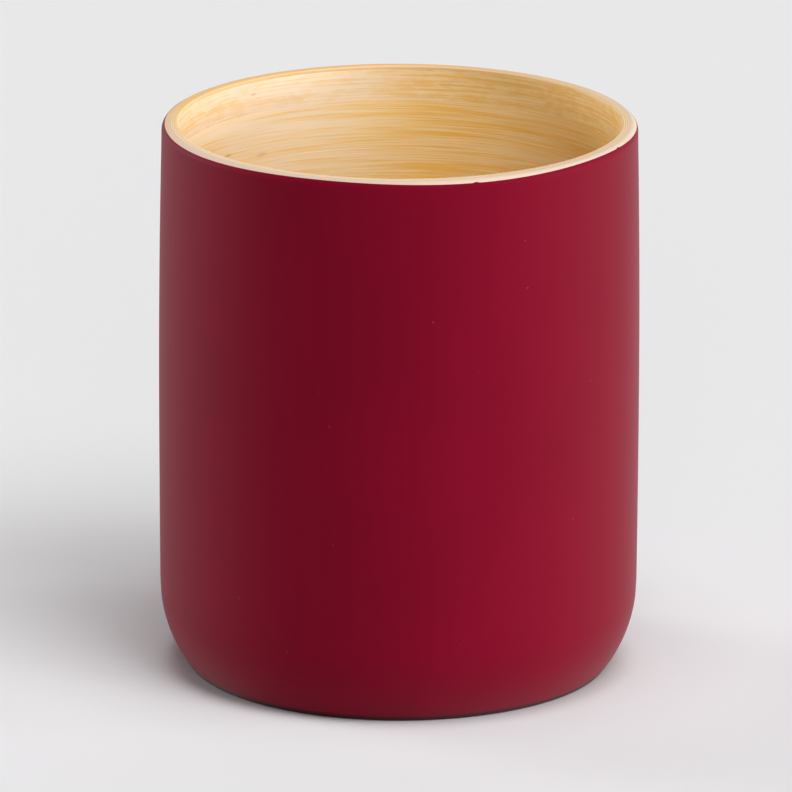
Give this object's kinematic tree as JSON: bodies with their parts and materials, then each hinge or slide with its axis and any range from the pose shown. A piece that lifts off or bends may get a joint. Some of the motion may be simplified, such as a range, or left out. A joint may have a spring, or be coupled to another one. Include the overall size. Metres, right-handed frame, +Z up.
{
  "type": "bamboo cup",
  "caption": "Straight-sided drinking cup wound from bamboo strip, lacquered matte crimson outside, bare and varnished inside, with a rounded foot and a pale rim.",
  "frame": {"origin": "on the table, under the middle of the cup", "axes": "+Z up along the cup's axis, -Y towards the picture's camera, +X to the camera's right"},
  "size_m": [0.086, 0.086, 0.1],
  "materials": {
    "red_lacquer": "matte crimson lacquer over bamboo",
    "bamboo": "bare bamboo under clear satin varnish"
  },
  "bodies": {
    "root": {"outer_sleeve": "red_lacquer", "foot_ring": "red_lacquer", "rim_ring": "bamboo", "corner_ring": "bamboo", "inner_hoop_1": "bamboo", "inner_hoop_2": "bamboo", "inner_hoop_3": "bamboo", "base_disc": "bamboo", "floor_coil": "bamboo", "floor_core": "bamboo"}
  },
  "joints": []
}
